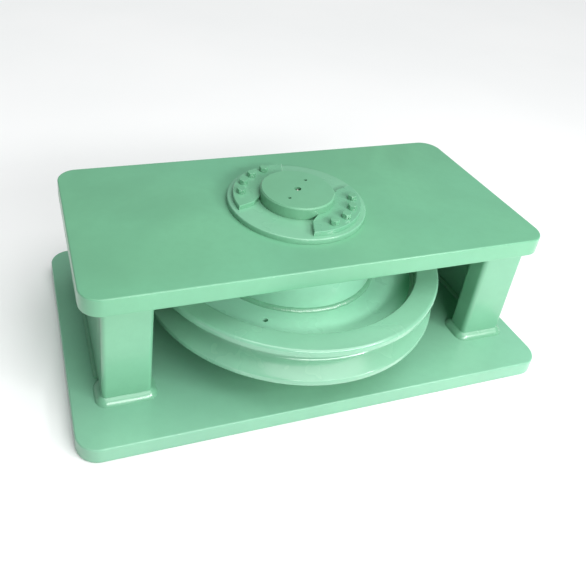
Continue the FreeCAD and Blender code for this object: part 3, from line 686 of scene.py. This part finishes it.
def rim_profile():
    pts = []
    low, high = Z0 - 46, Z0 + 46
    inner_r, lip = 3.0, 6.2

    def arc(cx, cz, r, a0, a1, n):
        for j in range(n + 1):
            a = math.radians(a0 + (a1 - a0) * j / n)
            pts.append((cx + r * math.cos(a), cz + r * math.sin(a)))

    arc(RI + inner_r, low + inner_r, inner_r, 180, 270, 8)
    for k in range(1, 6):
        pts.append((RI + inner_r + (RO - lip - RI - inner_r) * k / 6, low))
    arc(RO - lip, low + lip, lip, -90, 0, 12)
    # groove: mouth rounded into the lip, straight flank, rounded bottom, and the same upward
    mouth = 3.6
    drop = mouth * (1 - math.sin(FLANK)) / math.cos(FLANK)
    centre = RO - MOUTH / math.tan(FLANK) + BOTTOM / math.sin(FLANK)
    swing = 90 - math.degrees(FLANK)
    arc(RO - mouth, Z0 - MOUTH - drop, mouth, 0, swing, 8)
    flank_in = (centre - BOTTOM * math.sin(FLANK), BOTTOM * math.cos(FLANK))
    flank_out = (RO - mouth + mouth * math.cos(math.radians(swing)), MOUTH + drop - mouth * math.sin(math.radians(swing)))
    for k in range(1, 7):
        t = k / 7
        pts.append((flank_out[0] + (flank_in[0] - flank_out[0]) * t, Z0 - flank_out[1] - (flank_in[1] - flank_out[1]) * t))
    arc(centre, Z0, BOTTOM, -90 - math.degrees(FLANK), -270 + math.degrees(FLANK), 24)
    for k in range(1, 7):
        t = 1 - k / 7
        pts.append((flank_out[0] + (flank_in[0] - flank_out[0]) * t, Z0 + flank_out[1] + (flank_in[1] - flank_out[1]) * t))
    arc(RO - mouth, Z0 + MOUTH + drop, mouth, -swing, 0, 8)
    arc(RO - lip, high - lip, lip, 0, 90, 12)
    for k in range(1, 6):
        pts.append((RO - lip + (RI + inner_r - RO + lip) * k / 6, high))
    arc(RI + inner_r, high - inner_r, inner_r, 90, 180, 8)
    for k in range(1, 8):
        pts.append((RI, high - inner_r + (low + inner_r - high + inner_r) * k / 8))
    clean = []
    for p in pts:
        if not clean or math.dist(p, clean[-1]) > 0.02:
            clean.append(p)
    return clean


def rim_wobble(a, r, z):
    return (0.10 * soft_noise(math.cos(a) * 3, math.sin(a) * 3, z / 30, 61), 0.10 * soft_noise(math.cos(a) * 3, math.sin(a) * 3, r / 30, 62))


v, f = lathe(rim_profile(), 540, rim_wobble)
finish_mesh("sheave_rim_turned", v, f, "sheave", ["sheave_rim"], MAT["sheave"], 50)

hub = fine([(97.52, 60.05), (121, 60.05), (121, 64.55), (129, 64.55), (129, 60.05), (190, 60.05), (190, 265.55),
            (129, 265.55), (129, 261.05), (121, 261.05), (121, 265.55), (97.52, 265.55)],
           [0.8, 0.5, 0.4, 0.4, 0.5, 6, 6, 0.5, 0.4, 0.4, 0.5, 0.8], step=0.8, longest=12)
v, f = lathe(hub, 360, lambda a, r, z: (0.12 * soft_noise(math.cos(a) * 2, math.sin(a) * 2, z / 60, 63) if r > 180 else 0.0, 0.0))
finish_mesh("sheave_hub_turned", v, f, "sheave", ["sheave_hub"], MAT["dish"], 40)

# ======================================================================= bosses
flange = fine([(82.55, 281), (108, 281), (108, 321), (154, 321), (154, 333), (82.55, 333)],
              [0.6, 0.6, 0, 0.4, 2.8, 1.0], step=0.5, longest=9)
v, f = lathe(flange, 360)
finish_mesh("upper_boss_turned", v, f, "frame", ["upper_boss"], MAT["boss"], 40)

ring = fine([(82.55, 274), (130, 274), (130, 281), (82.55, 281)], [0.4, 0.8, 0, 0.4], step=0.3, longest=12)
v, f = lathe(ring, 256)
finish_mesh("upper_distance_ring_turned", v, f, "frame", ["upper_distance_ring"], MAT["boss"], 40)

collar = fine([(82.55, 0.5), (108, 0.5), (108, 35), (130, 35), (130, 52), (82.55, 52)],
              [0.8, 0.8, 0, 0, 1.5, 0.8], step=0.5, longest=9)
v, f = lathe(collar, 256)
finish_mesh("lower_boss_turned", v, f, "frame", ["lower_boss"], MAT["boss"], 40)

# ============================================================ bolts and washers
PCR = 123.5
ANGLES = [135 + s for s in (-28.5, -9.5, 9.5, 28.5)] + [315 + s for s in (-28.5, -9.5, 9.5, 28.5)]
TWIST = [7, 22, 41, 15, 52, 33, 3, 27]


def bolt_head(cx, cy, z, spin, seed):
    """M12 hexagon head, 18 mm across flats, with the turned chamfer on its crown and a washer face under it."""
    flats, head = 9.0, 7.5
    n = 96

    def hex_r(a, rad):
        k = ((a + math.pi / 6) % (math.pi / 3)) - math.pi / 6
        r = rad / math.cos(k)
        return r - 0.55 * max(0.0, (abs(k) - 0.36)) ** 2 * 22 * 0.10 * rad / 9

    def cone(zz):
        return 8.75 + (head - zz) * math.tan(math.radians(58))

    zs = [0.62, 0.9, 2.2, 4.2, 5.2, 5.8, 6.2, 6.5, 6.75, 7.0, 7.2, 7.36, 7.45]
    ring_rows = []
    for rr, zz in ((0.0, 0.0), (6.0, 0.0), (8.45, 0.0), (8.6, 0.15), (8.6, 0.55)):
        ring_rows.append([(rr, zz)] * n)
    for zz in zs:
        ring_rows.append([(min(hex_r(TAU * i / n, flats), cone(zz)), zz) for i in range(n)])
    ring_rows.append([(8.45, 7.5)] * n)
    ring_rows.append([(6.0, 7.52)] * n)
    ring_rows.append([(3.0, 7.50)] * n)
    ring_rows.append([(0.0, 7.50)] * n)
    m = len(ring_rows)
    verts = []
    ca, sa = math.cos(math.radians(spin)), math.sin(math.radians(spin))
    for i in range(n):
        a = TAU * i / n
        for j in range(m):
            r, zz = ring_rows[j][i]
            x, y = r * math.cos(a), r * math.sin(a)
            x, y = x * ca - y * sa, x * sa + y * ca
            verts.append(((cx + x) * MM, (cy + y) * MM, (z + zz) * MM))
    return verts, grid_faces(n, m, True, False)


def shank(cx, cy, z, length=40.0, r=6.0):
    prof = [(0.0, 0.02), (r, 0.02), (r, -length + 1.4), (r - 1.3, -length), (0.0, -length)]
    n = 32
    verts = []
    for i in range(n):
        a = TAU * i / n
        for rr, zz in prof:
            verts.append(((cx + rr * math.cos(a)) * MM, (cy + rr * math.sin(a)) * MM, (z + zz) * MM))
    return verts, grid_faces(n, len(prof), True, False)


def lock_washer(cx, cy, z, spin):
    """Spring lock washer: one turn of square wire with its two ends a hair apart."""
    ri, ro, thk, e = 6.2, 10.25, 2.5, 0.45
    n = 72
    gap = math.radians(7)
    sec = fine([(ri, 0), (ro, 0), (ro, thk), (ri, thk)], [e, e, e, e], step=0.2, longest=3)
    verts = []
    for i in range(n):
        t = i / (n - 1)
        a = gap / 2 + (TAU - gap) * t + math.radians(spin)
        for r, zz in sec:
            verts.append(((cx + r * math.cos(a)) * MM, (cy + r * math.sin(a)) * MM, (z + zz) * MM))
    k = len(sec)
    faces = grid_faces(n, k, False, True)
    faces.append(tuple(range(k)))
    faces.append(tuple(range((n - 1) * k, n * k))[::-1])
    return verts, faces


KEEP_TOP = 343.0
parts, washers = [], []
for i, (a, tw) in enumerate(zip(ANGLES, TWIST)):
    x, y = PCR * math.cos(math.radians(a)), PCR * math.sin(math.radians(a))
    parts.append(bolt_head(x, y, KEEP_TOP + 2.5, tw, 70 + i))
    parts.append(shank(x, y, KEEP_TOP + 2.5))
    washers.append(lock_washer(x, y, KEEP_TOP, tw * 7 + 40))
v, f = join(parts)
finish_mesh("keeper_bolts_m12", v, f, "frame", ["keeper_bolts"], MAT["bolt"], 28)
v, f = join(washers)
finish_mesh("keeper_spring_washers", v, f, "frame", ["keeper_lock_washers"], MAT["bolt"], 35)


# ============================================================== grease nipple
def nipple():
    z = 345.0
    across = 11 / math.sqrt(3)
    n = 72

    def hexr(a):
        k = ((a - math.radians(15) + math.pi / 6) % (math.pi / 3)) - math.pi / 6
        return 5.5 / math.cos(k)

    rows = [[(0.0, -9.0)] * n, [(4.3, -9.0)] * n, [(4.95, -8.2)] * n, [(4.95, 0.0)] * n]
    for zz, cap in ((0.0, 5.7), (0.35, 6.1), (0.8, 9), (3.9, 9), (4.6, 6.1), (5.0, 5.55)):
        rows.append([(min(hexr(TAU * i / n), cap), zz) for i in range(n)])
    for r, zz in ((3.0, 5.0), (2.55, 5.3), (2.3, 6.4), (2.25, 7.4), (2.6, 8.0), (3.1, 8.6), (3.25, 9.3), (3.2, 10.1),
                  (2.9, 10.9), (2.3, 11.7), (1.6, 12.3), (1.1, 12.5), (0.95, 12.2), (0.7, 12.05), (0.35, 12.15), (0.0, 12.2)):
        rows.append([(r, zz)] * n)
    verts = []
    for i in range(n):
        a = TAU * i / n
        for row in rows:
            r, zz = row[i]
            verts.append((r * math.cos(a) * MM, r * math.sin(a) * MM, (z + zz) * MM))
    return verts, grid_faces(n, len(rows), True, False)


v, f = nipple()
finish_mesh("grease_nipple_detailed", v, f, "frame", ["grease_nipple"], MAT["zinc"], 30)

# ======================================================= carried-over CAD nodes
KEPT = {
    "main_pin": "pin", "keeper_plate_left": "keeper", "keeper_plate_right": "keeper", "sheave_web": "dish",
    "thrust_washer_lower": "bronze", "thrust_washer_upper": "bronze", "bush_lower": "bronze", "bush_upper": "bronze",
    "dust_seal_lower": "rubber", "dust_seal_upper": "rubber",
}
for node, key in KEPT.items():
    me = NODES[node].data
    me.materials.clear()
    me.materials.append(MAT[key])
for node, ob in NODES.items():
    if node not in KEPT:
        ob.data.materials.clear()
        ob.data.materials.append(MAT["boss"])

# ======================================================================== stage
fm, fnt, fb = new_mat("studio_floor")
ftc = nd(fnt, "ShaderNodeTexCoord", -900, 0)
fcl = noise_tex(fnt, ftc.outputs["Object"], 0.8, 3.0, 0.5)
fnt.links.new(mix_rgb(fnt, ramp(fnt, fcl, 0.3, 0.7), (0.93, 0.94, 0.935, 1), (0.96, 0.965, 0.96, 1)), fb.inputs["Base Color"])
fb.inputs["Roughness"].default_value = 0.85
fb.inputs["Specular IOR Level"].default_value = 0.2
fme = bpy.data.meshes.new("studio_floor")
s = 14.0
fme.from_pydata([(-s, -s, 0), (s, -s, 0), (s, s, 0), (-s, s, 0)], [], [(0, 1, 2, 3)])
floor = bpy.data.objects.new("studio_floor", fme)
bpy.context.scene.collection.objects.link(floor)
floor.location.z = -0.0004
fme.materials.append(fm)


def aim(ob, src, dst):
    ob.location = src
    ob.rotation_mode = "QUATERNION"
    ob.rotation_quaternion = (Vector(dst) - Vector(src)).to_track_quat("-Z", "Y")


def softbox(name, place, target, size, watts, color=(1, 1, 1), size_y=None):
    d = bpy.data.lights.new(name, "AREA")
    d.energy, d.size, d.color, d.shape = watts, size, color, "RECTANGLE"
    d.size_y = size_y or size
    o = bpy.data.objects.new(name, d)
    bpy.context.scene.collection.objects.link(o)
    aim(o, place, target)
    return o


MID = Vector((0.0, -0.10, 0.17))
softbox("key_strip", (0.36, -1.97, 1.27), MID, 1.90, 34, size_y=0.30)
softbox("right_box", (1.38, -1.63, 1.41), MID, 0.35, 15)


def overhead(name, az, el, strength, angle, color=(1, 1, 1)):
    d = bpy.data.lights.new(name, "SUN")
    d.energy, d.angle, d.color = strength, math.radians(angle), color
    o = bpy.data.objects.new(name, d)
    bpy.context.scene.collection.objects.link(o)
    a, e = math.radians(az), math.radians(el)
    away = Vector((math.sin(a) * math.cos(e), -math.cos(a) * math.cos(e), math.sin(e)))
    aim(o, MID + away * 4, MID)
    return o


overhead("sky_panel", 60, 76, 2.30, 60)

w = bpy.data.worlds.new("studio_world")
bpy.context.scene.world = w
w.use_nodes = True
wn = w.node_tree
wn.nodes.clear()
wo = nd(wn, "ShaderNodeOutputWorld", 400, 0)
bg = nd(wn, "ShaderNodeBackground", 200, 0)
bg.inputs["Color"].default_value = (0.93, 0.97, 1.0, 1)
bg.inputs["Strength"].default_value = 0.18
wn.links.new(bg.outputs[0], wo.inputs[0])

# ======================================================================= camera
cd = bpy.data.cameras.new("camera")
cam = bpy.data.objects.new("camera", cd)
bpy.context.scene.collection.objects.link(cam)
right = Vector((0.9515227794420555, -0.29732383910948545, 0.0787587131691597))
down = Vector((-0.07851351229264612, -0.4823968086376414, -0.8724261441712101))
fwd = Vector((0.2973860424096797, 0.8239489387780138, -0.4823584642840764))
rot = Matrix((right, -down, -fwd)).transposed()
cam.matrix_world = Matrix.Translation((-0.5780514169606401, -1.1216013746133673, 1.090251347120624)) @ rot.to_4x4()
cd.sensor_fit = "HORIZONTAL"
cd.sensor_width = 36.0
cd.lens = 658.7502535 / 586 * 36.0
cd.shift_x = (293.0 - 225.35404) / 586
cd.shift_y = -(293.0 - 165.5756558) / 586
cd.clip_start, cd.clip_end = 0.05, 100
bpy.context.scene.camera = cam

vs = bpy.context.scene.view_settings
vs.view_transform = "Standard"
vs.look = "None"
vs.exposure = 0.0
vs.gamma = 1.0
